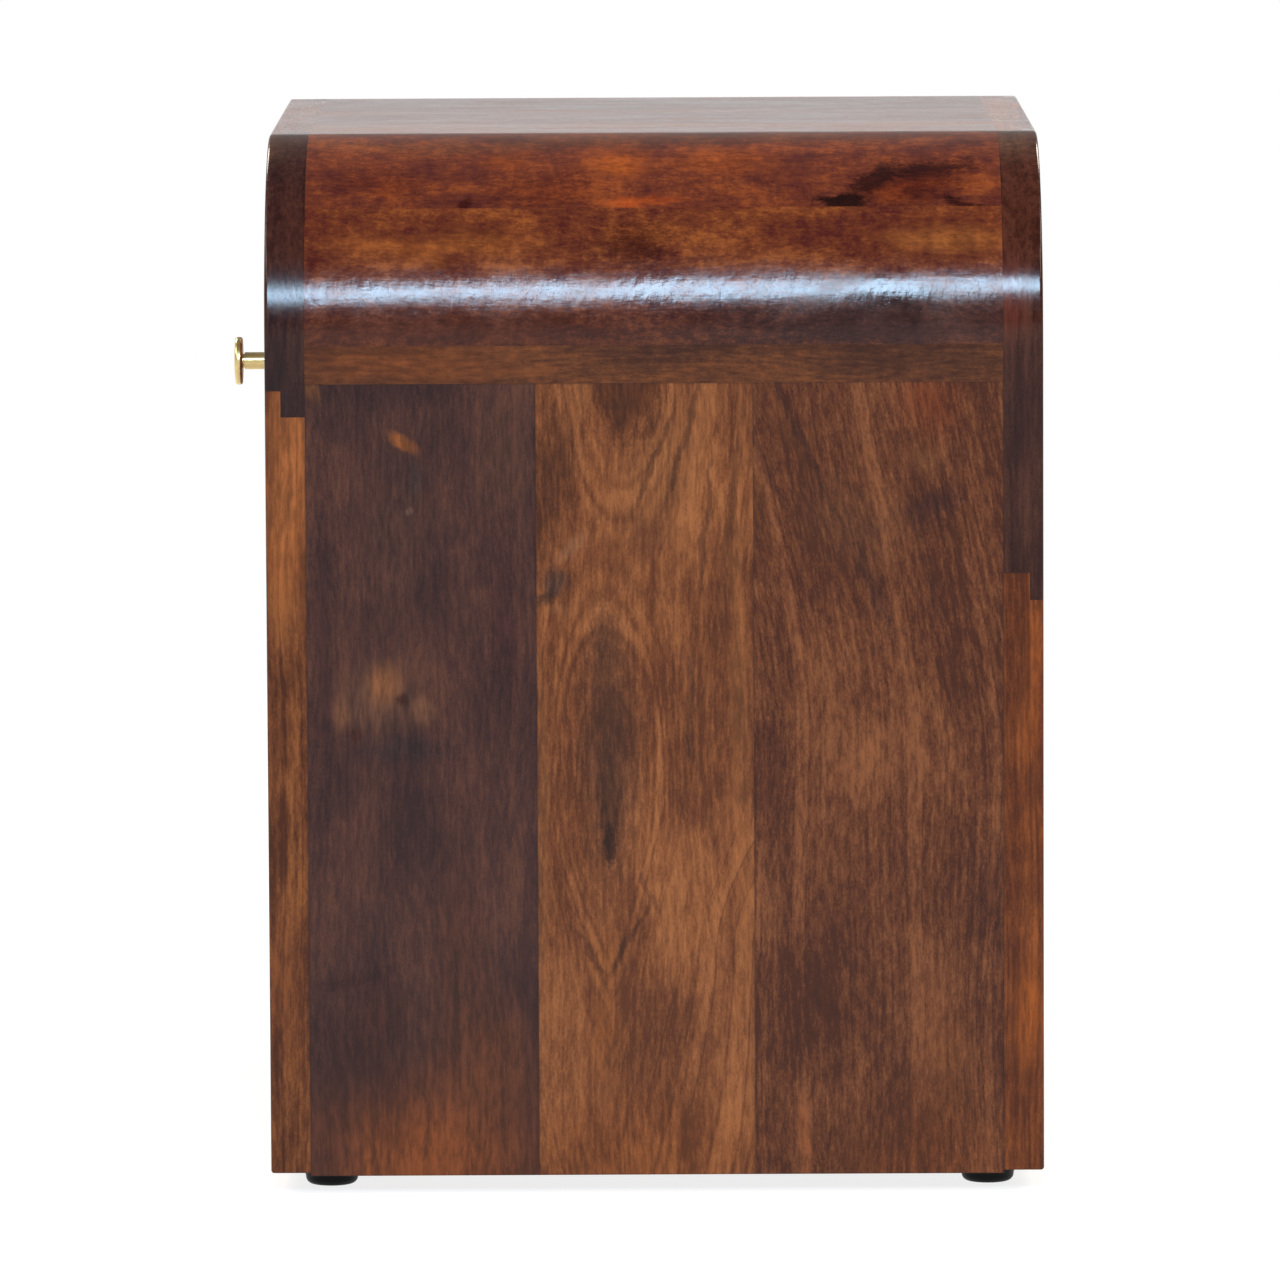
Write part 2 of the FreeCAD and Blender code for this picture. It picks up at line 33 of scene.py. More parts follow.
# What the pale surroundings add to each surface by reflection, taken off a measured colour
gloss_lift = 0.021
darkest_channel = 0.001

# Lacquer over the wood
wood_ior = 1.33
relief_depth = 0.35

# Sizes of the wood's textures, across the grain and along it
drift_size = (55, 160)
streak_size = (3.4, 70)
grit_size = (1.0, 1.6)
ripple_length = 4.5
tear_size = (8, 14)
pore_size = (0.5, 5)
wave_size = (22, 45)

# How far a texture's shift moves it on each axis
shift_shares = (1.0, 1.7, 2.3)

# The noise values between which pits and pores open
pit_edge = (0.6, 0.7)
pore_edge = (0.62, 0.72)

# The noise node's coloured output, for moving a place in three directions
coloured = 1

# The figure's tone from dark to light: where each stop lies, and how the end tones differ
tone_stops = (0.1, 0.33, 0.5, 0.67, 0.9)
darkest_share = 0.66
lightest_share = 1.4

# How far out a patch reaches, and how the grain's tones shade it
patch_reach = 1.2
shaded_tones = (0.12, 0.88)
shade_range = (0.5, 1.5)

# Dark lines along a board's edges: glue lines, and painted shade on a bottom edge; and the open pores
edge_line_width = 0.8
edge_line_strength = 0.38
glue_line_and_shade_colour = (28, 18, 18)
pore_strength = 0.3
pore_colour = (30, 18, 16)

# What a look has where it names nothing else. Every look also has its grain's axis, its shift, its three
# tones, the hearts that its growth rings run round and the rings' width. Some have a sweep or a curl.
plain_look = {
    # Glue lines and painted bottom-edge shade along both edges on each of these axes, and the listed marks
    "glue_and_shade_edges": (),
    "patches": (),
    # How far the figure and the marks' outlines are bent
    "wander": 14,
    "tear": 9,
    # How strongly each texture shows in the tone
    "mottle": 0.7,
    "mottle_size": (38, 75),
    "streak": 0.5,
    "fleck": 0.6,
    "fleck_size": (2, 9),
    "grit": 0.22,
    "rings": 0.35,
    "lines": 0.1,
    "patch_grain": 0.3,
    # The lacquer's relief and roughness
    "relief": 0.2,
    "fine_relief": 0.35,
    "ripple": 0.2,
    "rough": 0.17,
    "rough_mottle": 0.06,
    "pitting": 0.08,
}


def linear(colour, lift=0.0):
    """A colour as light, from its screen values."""
    channels = []
    for value in colour:
        share = value / 255
        light = share / 12.92 if share <= 0.04045 else ((share + 0.055) / 1.055) ** 2.4
        channels.append(max(light - lift, darkest_channel))
    return tuple(channels)


def paint(colour):
    return linear(colour, gloss_lift)


def metres(point):
    return Vector(point) * thousandth


class Graph:
    """Builds a node tree; each call returns the socket that holds its result."""

    def __init__(self, tree):
        self.tree = tree

    def put(self, socket, value):
        if isinstance(value, bpy.types.NodeSocket):
            self.tree.links.new(value, socket)
        elif socket.type == "RGBA":
            socket.default_value = (*value[:3], 1)
        else:
            socket.default_value = value

    def add(self, kind, inputs, **settings):
        node = self.tree.nodes.new("ShaderNode" + kind)
        for name, value in settings.items():
            setattr(node, name, value)
        for key, value in inputs.items():
            self.put(node.inputs[key], value)
        return node

    def math(self, operation, *values, **settings):
        return self.add("Math", dict(enumerate(values)), operation=operation, **settings).outputs[0]

    def vector(self, operation, *values):
        node = self.add("VectorMath", dict(enumerate(values)), operation=operation)
        return node.outputs["Value" if operation == "LENGTH" else "Vector"]

    def scaled(self, vector, factor):
        return self.add("VectorMath", {0: vector, "Scale": factor}, operation="SCALE").outputs[0]

    def place(self, output="Object"):
        return self.add("TexCoord", {}).outputs[output]

    def parts(self, vector):
        return self.add("SeparateXYZ", {0: vector}).outputs

    def joined(self, *values):
        return self.add("CombineXYZ", dict(enumerate(values))).outputs[0]

    def framed(self, vector, at, size, turn=0.0):
        """Coordinates in a frame at a place, with one unit as long as its size on each axis."""
        inputs = {"Vector": vector, "Location": metres(at), "Rotation": (turn, 0, 0), "Scale": size}
        return self.add("Mapping", inputs, vector_type="TEXTURE").outputs[0]

    def grained(self, vector, grain, across, along, shift=0.0):
        """Coordinates in which one unit is a length across the grain, and another along it."""
        scale = [1 / (across * thousandth)] * 3
        scale[grain] = 1 / (along * thousandth)
        moved = [shift * share for share in shift_shares]
        inputs = {"Vector": vector, "Scale": scale, "Location": moved}
        return self.add("Mapping", inputs, vector_type="POINT").outputs[0]

    def noise(self, vector, detail=2.0, roughness=0.5, scale=1.0, output=0):
        inputs = {"Vector": vector, "Scale": scale, "Detail": detail, "Roughness": roughness}
        return self.add("TexNoise", inputs).outputs[output]

    def weighed(self, start, terms):
        """start, plus each value's distance from a half times its weight."""
        total = start
        for value, weight in terms:
            total = self.math("MULTIPLY_ADD", self.math("SUBTRACT", value, 0.5), weight, total)
        return total

    def eased(self, value, low, high, to_low=0.0, to_high=1.0):
        inputs = {
            "Value": value,
            "From Min": low,
            "From Max": high,
            "To Min": to_low,
            "To Max": to_high,
        }
        return self.add("MapRange", inputs, interpolation_type="SMOOTHSTEP").outputs[0]

    def ramp(self, value, stops):
        node = self.add("ValToRGB", {0: value})
        elements = node.color_ramp.elements
        while len(elements) < len(stops):
            elements.new(0.5)
        for element, (position, colour) in zip(elements, stops):
            element.position = position
            element.color = (*colour, 1)
        return node.outputs[0]

    def mixed(self, factor, first, second):
        """Two colours mixed; the Mix node's colour sockets come after its number and vector ones."""
        first_socket, second_socket, result_socket = 6, 7, 2
        inputs = {0: factor, first_socket: first, second_socket: second}
        return self.add("Mix", inputs, data_type="RGBA").outputs[result_socket]

    def bump(self, height, strength, depth):
        inputs = {"Height": height, "Strength": strength, "Distance": depth * thousandth}
        return self.add("Bump", inputs).outputs[0]

    def seen_rays(self):
        """1 for what the camera, metal and glass see, 0 for the light that falls on surfaces."""
        rays = self.add("LightPath", {}).outputs
        total = rays["Is Camera Ray"]
        for name in ("Is Glossy Ray", "Is Transmission Ray"):
            total = self.math("ADD", total, rays[name], use_clamp=True)
        return total


class Surface(Graph):
    """The node tree of one material with a principled surface."""

    def __init__(self, name):
        self.material = bpy.data.materials.new(name)
        self.material.use_nodes = True
        super().__init__(self.material.node_tree)
        self.tree.nodes.clear()
        self.shader = self.add("BsdfPrincipled", {})
        self.add("OutputMaterial", {"Surface": self.shader.outputs[0]})

    def finish(self, **inputs):
        for name, value in inputs.items():
            self.put(self.shader.inputs[name.replace("_", " ")], value)
        return self.material


def patch_mask(g, place, patch, fray):
    """How much of a patch shows at each point: its ragged outline is an ellipse."""
    inside = g.framed(place, patch["at"], metres(patch["size"]), math.radians(patch["turn"]))
    reach = g.math("ADD", g.vector("LENGTH", inside), fray)
    return g.eased(reach, patch_reach, patch_reach - patch["soft"], 0.0, patch["strength"])


def displaced(g, place, noise, reach):
    """The place, moved by up to about a third of reach in each direction by a coloured noise."""
    push = g.vector("SUBTRACT", noise, (0.5, 0.5, 0.5))
    amount = reach * thousandth
    return g.vector("MULTIPLY_ADD", push, (amount, amount, amount), place)


def growth_rings(g, look, bent, mottle):
    """Uneven rings round the look's hearts; below a heart with a point they narrow to one."""
    point_fade = 20 * thousandth
    heart_blend = 6 * thousandth
    mottle_weight = 0.8
    radius = None
    for heart in look["hearts"]:
        around = g.framed(bent, heart["at"], heart["shape"])
        reach = g.vector("LENGTH", around)
        if "point" in heart:
            parts = g.parts(around)
            below = g.eased(parts[Z], 0.0, -point_fade)
            side = g.math("MULTIPLY", g.math("ABSOLUTE", parts[Y]), below)
            reach = g.math("MULTIPLY_ADD", side, heart["point"], reach)
        radius = g.math("SMOOTH_MIN", radius, reach, heart_blend) if radius else reach
    radius = g.math("MULTIPLY", radius, 1 / (look["ring"] * thousandth))
    return g.noise(g.joined(radius, g.math("MULTIPLY", mottle, mottle_weight), look["shift"]))


def swept_aside(g, place, bent, sweep):
    """The bent place, moved across more and more from the sweep's low height to its high one."""
    low, high, across = (length * thousandth for length in sweep)
    swept = g.eased(g.parts(place)[Z], low, high, 0.0, across)
    return g.vector("ADD", bent, g.joined(0.0, swept, 0.0))


def wood_figure(g, look, place):
    """The wood's textures, each from its own noise along the grain."""
    grain = look["grain"]

    def texture(where, size, move, **character):
        return g.noise(g.grained(where, grain, *size, look["shift"] + move), **character)

    drift = texture(place, drift_size, move=0, detail=1.0, roughness=0.4, output=coloured)
    bent = displaced(g, place, drift, look["wander"])
    if "sweep" in look:
        bent = swept_aside(g, place, bent, look["sweep"])
    tear = texture(place, tear_size, move=15, detail=3.0, roughness=0.6, output=coloured)
    mottle = texture(bent, look["mottle_size"], move=3, roughness=0.55)
    grit = texture(place, grit_size, move=9, detail=1.0)
    pores = texture(place, pore_size, move=13, detail=1.0)
    figure = SimpleNamespace(
        torn=displaced(g, bent, tear, look["tear"]),
        mottle=mottle,
        streaks=texture(bent, streak_size, move=5, detail=3.0, roughness=0.6),
        flecks=texture(bent, look["fleck_size"], move=7, roughness=0.6),
        grit=grit,
        pits=g.eased(grit, *pit_edge),
        rings=growth_rings(g, look, bent, mottle),
        pores=g.eased(pores, *pore_edge),
        waves=texture(place, wave_size, move=17, detail=1.0),
        ripple=None,
    )
    if "curl" in look:
        figure.ripple = texture(bent, (look["curl_width"], ripple_length), move=11)
    return figure


def wood_tone(g, look, figure):
    """From 0 for the darkest wood to 1 for the lightest."""
    line_centre = 0.53
    line_width = 0.06
    terms = [
        (figure.mottle, look["mottle"]),
        (figure.streaks, look["streak"]),
        (figure.flecks, look["fleck"]),
        (figure.grit, look["grit"]),
        (figure.rings, look["rings"]),
    ]
    tone = g.weighed(0.5, terms)
    lines = g.eased(g.math("ABSOLUTE", g.math("SUBTRACT", figure.rings, line_centre)), line_width, 0.0)
    tone = g.math("MULTIPLY_ADD", lines, -look["lines"], tone)
    if figure.ripple:
        tone = g.weighed(tone, [(figure.ripple, look["curl"])])
    return tone


def stain(g, look, tone):
    """The stain's colour at each tone."""
    dark, middle, light = (paint(colour) for colour in look["tones"])
    darkest = tuple(value * darkest_share for value in dark)
    lightest = tuple(value * lightest_share for value in light)
    return g.ramp(tone, list(zip(tone_stops, (darkest, dark, middle, light, lightest))))


def patched(g, look, figure, tone, colour):
    """The colour with the look's patches over it; the wood's grain shows in them too."""
    fray = g.weighed(0.0, [(figure.flecks, 0.5), (figure.grit, 0.35)])
    grain = look["patch_grain"]
    grained_tone = g.weighed(tone, [(figure.streaks, grain), (figure.flecks, grain)])
    shade = g.eased(grained_tone, *shaded_tones, *shade_range)
    for patch in look["patches"]:
        tint = g.scaled(paint(patch["tone"]), shade)
        colour = g.mixed(patch_mask(g, figure.torn, patch, fray), colour, tint)
    return colour


def glue_line_and_shade_mask(g, place, box, axis):
    """The thin dark line along both of a board's edges on one axis: a glue line at a joint, painted shade
    at a bottom edge.
    """
    centre = (box[0][axis] + box[1][axis]) / 2
    half = (box[1][axis] - box[0][axis]) / 2
    off = g.math("ABSOLUTE", g.math("SUBTRACT", g.parts(place)[axis], centre))
    return g.eased(off, half - edge_line_width * thousandth, half, 0.0, edge_line_strength)


def lacquer(g, look, figure):
    """The relief and the roughness of the lacquer over the wood."""
    fine = look["fine_relief"]
    relief = [(figure.streaks, 0.5), (figure.flecks, 0.4)]
    if figure.ripple:
        relief.append((figure.ripple, look["ripple"]))
    relief += [
        (figure.waves, 4.0),
        (figure.grit, 0.5 * fine),
        (figure.pores, -0.35 * fine),
        (figure.pits, -0.4 * fine),
    ]
    bump = g.bump(g.weighed(0.5, relief), look["relief"], relief_depth)
    rough = g.weighed(look["rough"], [(figure.mottle, look["rough_mottle"]), (figure.flecks, 0.08)])
    return bump, g.math("MULTIPLY_ADD", figure.pits, look["pitting"], rough)


def wood(name, look, box):
    """Stained wood with growth rings, streaks, flecks, placed patches and dark glue lines, with a few
    patches of painted sheen and reflection and painted shade along bottom edges.
    """
    g = Surface(name)
    look = {**plain_look, **look}
    place = g.place()
    figure = wood_figure(g, look, place)
    tone = wood_tone(g, look, figure)
    colour = patched(g, look, figure, tone, stain(g, look, tone))
    colour = g.mixed(g.math("MULTIPLY", figure.pores, pore_strength), colour, linear(pore_colour))
    # Dark edge lines: glue lines at joints, and on the upright axis painted shade along a bottom edge
    for axis in look["glue_and_shade_edges"]:
        colour = g.mixed(glue_line_and_shade_mask(g, place, box, axis), colour, linear(glue_line_and_shade_colour))
    bump, rough = lacquer(g, look, figure)
    return g.finish(Base_Color=colour, Roughness=rough, Normal=bump, IOR=wood_ior)


def dress(node, material):
    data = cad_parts[node]
    if not data.material_slots:
        data.data.materials.append(material)
    for slot in data.material_slots:
        slot.material = material


# Looks of the woods
plain_heart = {"hearts": [{"at": (0, 600, 200), "shape": (40, 1, 9)}], "ring": 7}
# Upright pieces also get a dark line on their top and bottom edges: a glue line at the top, painted shade
# at the bottom.
upright = {"grain": Z, "shift": 1.0, "glue_and_shade_edges": (Y, Z), **plain_heart}


def patch(at, size, tone, strength, turn=0, soft=1.1):
    """A patch on a side wall: its place and half size run towards the back and upward."""
    through = 5000
    return {
        "at": (0, *at),
        "size": (through, *size),
        "tone": tone,
        "strength": strength,
        "turn": turn,
        "soft": soft,
    }


front_board = {
    **upright,
    "shift": 2.0,
    "tones": ((68, 50, 50), (85, 59, 55), (106, 71, 60)),
    "mottle": 0.8,
    "streak": 0.3,
    "fleck": 0.5,
    "rings": 0.15,
    "lines": 0.03,
    "patch_grain": 0.6,
    "patches": (
        patch((-60, 353), (16, 34), (90, 64, 54), strength=0.6),
        patch((-108, 386), (48, 14), (58, 45, 47), strength=0.7),
        patch((-148, 270), (9, 120), (62, 47, 48), strength=0.7),
        patch((-62, 270), (10, 66), (68, 48, 49), strength=0.7),
        patch((-112, 320), (20, 60), (88, 63, 57), strength=0.5),
        patch((-96, 18), (68, 48), (134, 77, 51), strength=0.95),
        patch((-70, 62), (36, 46), (110, 67, 50), strength=0.7),
        patch((-82, 108), (16, 60), (94, 61, 51), strength=0.6),
        patch((-142, 30), (9, 34), (78, 52, 47), strength=0.6),
        patch((-124, 78), (24, 34), (82, 54, 49), strength=0.65),
        patch((-126, 22), (2.4, 22), (150, 86, 54), strength=0.6, soft=0.8),
        patch((-120, 16), (1.6, 14), (146, 84, 52), strength=0.5, soft=0.8),
        patch((-129, 104), (26, 4), (60, 44, 44), strength=0.5, turn=14),
        patch((-151, 384), (5, 7), (118, 78, 54), strength=0.8, soft=1.0),
        patch((-120, 236), (26, 21), (108, 77, 63), strength=0.7),
        patch((-116, 242), (11, 13), (146, 94, 64), strength=0.75),
        patch((-99, 229), (7, 8), (124, 86, 66), strength=0.7, soft=1.0),
        patch((-139, 230), (6, 10), (122, 82, 62), strength=0.65, soft=1.0),
        patch((-107, 234), (4, 3.6), (64, 42, 42), strength=0.8, soft=1.0),
        patch((-130, 220), (5, 5), (72, 44, 42), strength=0.7, soft=1.0),
        patch((-108, 212), (26, 8), (66, 54, 56), strength=0.6),
        patch((-101, 342), (6, 12), (74, 62, 58), strength=0.65),
        patch((-106, 360), (11, 3.4), (150, 90, 56), strength=0.9, turn=-37, soft=0.9),
        patch((-103, 328), (2.4, 2.4), (122, 92, 80), strength=0.6, soft=0.8),
    ),
}
middle_board = {
    **upright,
    "shift": 4.0,
    "tones": ((108, 65, 48), (142, 87, 58), (174, 110, 71)),
    "hearts": [
        {"at": (0, -11, 190), "shape": (40, 1, 3.6), "point": 0.5},
        {"at": (0, -4, 410), "shape": (40, 1, 3.2)},
    ],
    "ring": 11,
    "wander": 15,
    "streak": 0.4,
    "fleck": 0.5,
    "rings": 0.55,
    "lines": 0.12,
    "patches": (
        patch((-36, 346), (15, 54), (98, 61, 47), strength=0.8, turn=-14),
        patch((14, 346), (24, 44), (164, 106, 70), strength=0.5, turn=-14),
        patch((-10, 214), (17, 74), (100, 67, 54), strength=0.75),
        patch((-10, 262), (10, 20), (88, 60, 50), strength=0.6),
        patch((-1, 397), (16, 41), (98, 60, 46), strength=0.9, soft=0.6),
        patch((-10, 184), (7, 36), (82, 56, 47), strength=0.7),
        patch((-10, 167), (3.4, 12), (52, 36, 38), strength=0.85, soft=0.9),
        patch((-42, 172), (3, 100), (148, 95, 63), strength=0.6, soft=0.8),
        patch((54, 236), (4, 180), (158, 99, 64), strength=0.7, soft=0.8),
        patch((34, 372), (9, 26), (164, 104, 68), strength=0.6, turn=-16),
        patch((50, 320), (3, 60), (102, 65, 49), strength=0.6, turn=-6, soft=0.8),
        patch((-20, 388), (5, 12), (150, 95, 62), strength=0.6, soft=0.8),
        patch((37, 316), (1.8, 44), (90, 59, 48), strength=0.6, turn=-5, soft=0.8),
        patch((31, 236), (2.2, 40), (90, 60, 49), strength=0.55, soft=0.8),
        patch((10, 350), (2.2, 36), (98, 63, 48), strength=0.7, turn=-22, soft=0.8),
        patch((24, 356), (2.2, 40), (100, 64, 48), strength=0.65, turn=-18, soft=0.8),
        patch((-13, 112), (11, 17), (160, 98, 60), strength=0.6),
        patch((-14, 74), (12, 28), (150, 90, 56), strength=0.6),
        patch((0, 12), (60, 44), (150, 86, 52), strength=0.5),
        patch((-22, 118), (1.6, 22), (92, 58, 47), strength=0.6, turn=26, soft=0.8),
        patch((-2, 122), (1.7, 27), (88, 56, 46), strength=0.65, turn=-28, soft=0.8),
        patch((8, 146), (1.8, 12), (92, 59, 48), strength=0.45, turn=20, soft=0.8),
        patch((-28, 309), (12, 4), (162, 108, 76), strength=0.7, turn=38, soft=0.8),
        patch((-37, 293), (9, 8), (82, 64, 58), strength=0.8, soft=1.0),
        patch((-42, 286), (8, 4), (66, 50, 46), strength=0.65, turn=20, soft=0.8),
        patch((-34, 280), (9, 3), (150, 98, 68), strength=0.5, turn=-20, soft=0.8),
    ),
}
rear_board = {
    **upright,
    "shift": 6.0,
    "tones": ((90, 55, 45), (116, 71, 52), (143, 90, 62)),
    "sweep": (200, 470, 34),
    "mottle": 0.75,
    "streak": 0.4,
    "fleck": 0.7,
    "fleck_size": (2.1, 8),
    "grit": 0.32,
    "rings": 0.4,
    "lines": 0.1,
    "patches": (
        patch((70, 356), (12, 44), (138, 86, 57), strength=0.6, turn=12),
        patch((96, 374), (3, 34), (130, 79, 54), strength=0.6, turn=14, soft=0.8),
        patch((84, 352), (2.2, 46), (84, 54, 46), strength=0.65, turn=12, soft=0.8),
        patch((106, 352), (2.4, 50), (84, 54, 46), strength=0.65, turn=15, soft=0.8),
        patch((124, 290), (5, 30), (74, 50, 46), strength=0.6, turn=10, soft=1.0),
        patch((150, 300), (2.4, 40), (92, 58, 47), strength=0.6, turn=6, soft=0.8),
        patch((168, 376), (22, 22), (106, 56, 43), strength=0.7),
        patch((160, 350), (12, 9), (142, 90, 60), strength=0.65),
        patch((158, 328), (24, 11), (78, 51, 47), strength=0.75, turn=14),
        patch((120, 322), (30, 26), (118, 78, 58), strength=0.4),
        patch((172, 146), (16, 34), (80, 50, 44), strength=0.7),
        patch((150, 60), (22, 40), (118, 72, 50), strength=0.5),
        patch((66, 196), (12, 40), (88, 54, 46), strength=0.6),
        patch((82, 24), (3, 26), (148, 88, 58), strength=0.6, soft=0.8),
        patch((104, 18), (18, 18), (88, 54, 44), strength=0.5),
        patch((140, 14), (44, 40), (130, 74, 48), strength=0.5),
    ),
}
front_leg = {
    **upright,
    "shift": 8.0,
    "tones": ((90, 54, 42), (118, 71, 49), (150, 93, 58)),
    "mottle": 0.6,
    "streak": 0.6,
    "fleck": 0.55,
    "mottle_size": (20, 50),
    "patches": (
        patch((-163, 340), (18, 70), (180, 108, 65), strength=0.9),
        patch((-165, 96), (16, 60), (106, 62, 46), strength=0.5),
    ),
}
back_leg = {
    **upright,
    "shift": 10.0,
    "tones": ((98, 56, 42), (127, 72, 47), (156, 89, 54)),
    "mottle": 0.6,
    "streak": 0.5,
    "fleck": 0.5,
    "mottle_size": (16, 34),
    "patches": (
        patch((192, 220), (8, 70), (140, 78, 48), strength=0.6),
        patch((188, 84), (9, 30), (172, 94, 50), strength=0.8),
        patch((193, 270), (4, 60), (160, 88, 52), strength=0.6),
    ),
}
front_corner = {
    **upright,
    "shift": 12.0,
    "glue_and_shade_edges": (Y,),
    "fine_relief": 0.2,
    "pitting": 0.05,
    "tones": ((54, 42, 42), (64, 48, 48), (82, 58, 52)),
    "mottle": 0.5,
    "streak": 0.55,
    "fleck": 0.35,
    "lines": 0.05,
    "patches": (
        patch((-158, 458), (12, 46), (76, 53, 48), strength=0.7),
        # Painted reflection: the next patch is the dim band of reflection just below the rounded top.
        patch((-176, 498), (24, 10), (88, 66, 54), strength=0.6),
        patch((-168, 380), (16, 30), (60, 47, 48), strength=0.7),
    ),
}
back_corner = {
    **front_corner,
    "shift": 14.0,
    "rough": 0.13,
    "tones": ((56, 41, 40), (74, 50, 46), (94, 62, 53)),
    "patches": (
        patch((184, 470), (18, 34), (78, 52, 46), strength=0.7),
        # Painted reflection: the next patch is the dim band of reflection just below the rounded top.
        patch((184, 498), (24, 10), (96, 71, 58), strength=0.6),
        patch((182, 426), (8, 24), (104, 61, 53), strength=0.7, soft=1.0),
        patch((187, 372), (14, 34), (62, 45, 45), strength=0.6),
    ),
}
lying = {"grain": Y, "shift": 16.0, "hearts": [{"at": (0, 0, -400), "shape": (1, 9, 1)}], "ring": 9}
upper_stave = {
    **lying,
    "shift": 17.0,
    "tones": ((88, 53, 50), (109, 63, 51), (141, 79, 53)),
    "rough_mottle": 0.24,
    "ripple": 1.6,
    "fine_relief": 0.15,
    "pitting": 0.05,
    "mottle": 0.65,
    "mottle_size": (17, 30),
    "streak": 0.15,
    "fleck": 0.4,
    "fleck_size": (2, 5),
    "curl": 0.3,
    "curl_width": 9,
    "rings": 0.2,
    "lines": 0.04,
    "tear": 10,
    "patches": (
        patch((-118, 480), (28, 9), (90, 50, 44), strength=0.5),
        patch((-39, 477), (34, 11), (90, 50, 44), strength=0.5),
        patch((-60, 491), (14, 6), (140, 74, 46), strength=0.5),
        patch((-4, 489), (20, 9), (160, 86, 48), strength=0.65),
        patch((6, 471), (22, 3), (172, 84, 50), strength=0.7, soft=1.0),
        patch((48, 488), (34, 8), (138, 74, 46), strength=0.5),
        patch((136, 479), (38, 11), (84, 46, 40), strength=0.7, turn=12),
        patch((118, 479), (16, 4.6), (54, 35, 36), strength=0.85, turn=24, soft=0.8),
        patch((146, 485), (24, 4.4), (57, 37, 37), strength=0.85, turn=10, soft=0.8),
        patch((103, 470.5), (15, 3), (50, 33, 35), strength=0.95, soft=0.7),
        patch((163, 470), (16, 2.8), (58, 38, 37), strength=0.85, turn=-14, soft=0.7),
        patch((-77, 472), (4, 3), (70, 42, 39), strength=0.85, soft=0.8),
        # Painted reflection: the next patch is the dim band of reflection just below the rounded top, along
        # the whole stave.
        patch((10, 498.5), (240, 5), (100, 68, 52), strength=0.5),
    ),
}
lower_stave = {
    **upper_stave,
    "shift": 19.0,
    "tones": ((88, 51, 48), (113, 66, 50), (148, 87, 55)),
    "patches": (
        patch((-118, 452), (30, 8), (146, 86, 54), strength=0.5),
        patch((-72, 456), (26, 7), (152, 91, 55), strength=0.5),
        patch((150, 453), (34, 8), (160, 100, 60), strength=0.55),
        patch((1, 455), (20, 12), (68, 43, 40), strength=0.75),
        patch((-96, 448), (14, 8), (150, 88, 52), strength=0.5),
        patch((-80, 411), (190, 15), (88, 57, 51), strength=0.85, soft=1.0),
        # Painted sheen: this patch is dark wood tinted grey for a reflected sheen, and the next is a
        # painted grey sheen below the highlight.
        patch((120, 413), (130, 18), (73, 56, 55), strength=0.9, soft=1.0),
        patch((120, 426), (110, 12), (80, 63, 60), strength=0.6),
    ),
}
strip = {
    **lying,
    "shift": 21.0,
    "tones": ((84, 54, 45), (104, 66, 50), (132, 80, 54)),
    "curl": 0.25,
    "curl_width": 8,
    "streak": 0.35,
    "patches": (
        patch((-105, 398), (60, 13), (144, 83, 53), strength=0.75),
        patch((20, 403), (36, 8), (78, 53, 47), strength=0.6),
        patch((120, 400), (70, 14), (88, 58, 48), strength=0.5),
    ),
}
# Painted shade: these tones are darkened so that the top, which gets more light than the sides, shows no
# brighter than them.
top_board = {
    **lying,
    "shift": 23.0,
    "hearts": [{"at": (30, 40, 420), "shape": (1, 9, 1)}],
    "mottle": 0.55,
    "rings": 0.5,
    "lines": 0.12,
    "tones": ((73, 45, 38), (97, 58, 43), (124, 74, 49)),
    "glue_and_shade_edges": (X,),
    "relief": 0.1,
    "pitting": 0.03,
}
across = {
    "grain": X,
    "shift": 25.0,
    "hearts": [{"at": (20, -150, 318), "shape": (9, 1, 1)}],
    "ring": 9,
    "mottle": 0.5,
    "streak": 0.6,
    "rings": 0.5,
    "lines": 0.12,
    "tones": ((90, 53, 42), (118, 70, 48), (148, 90, 58)),
    "curl": 0.2,
    "curl_width": 8,
}
rail = {**across, "shift": 27.0, "tones": ((84, 50, 41), (108, 64, 46), (138, 84, 54))}
inner = {
    **lying,
    "shift": 29.0,
    "tones": ((134, 96, 66), (160, 118, 82), (184, 142, 102)),
    "rough": 0.5,
    "lines": 0.1,
}
panel = {**across, "shift": 31.0, "tones": ((92, 60, 46), (112, 74, 54), (134, 90, 64)), "rough": 0.42}
pale = {**upright, "shift": 33.0, "tones": ((166, 132, 92), (188, 154, 112), (206, 174, 132)), "rough": 0.6}

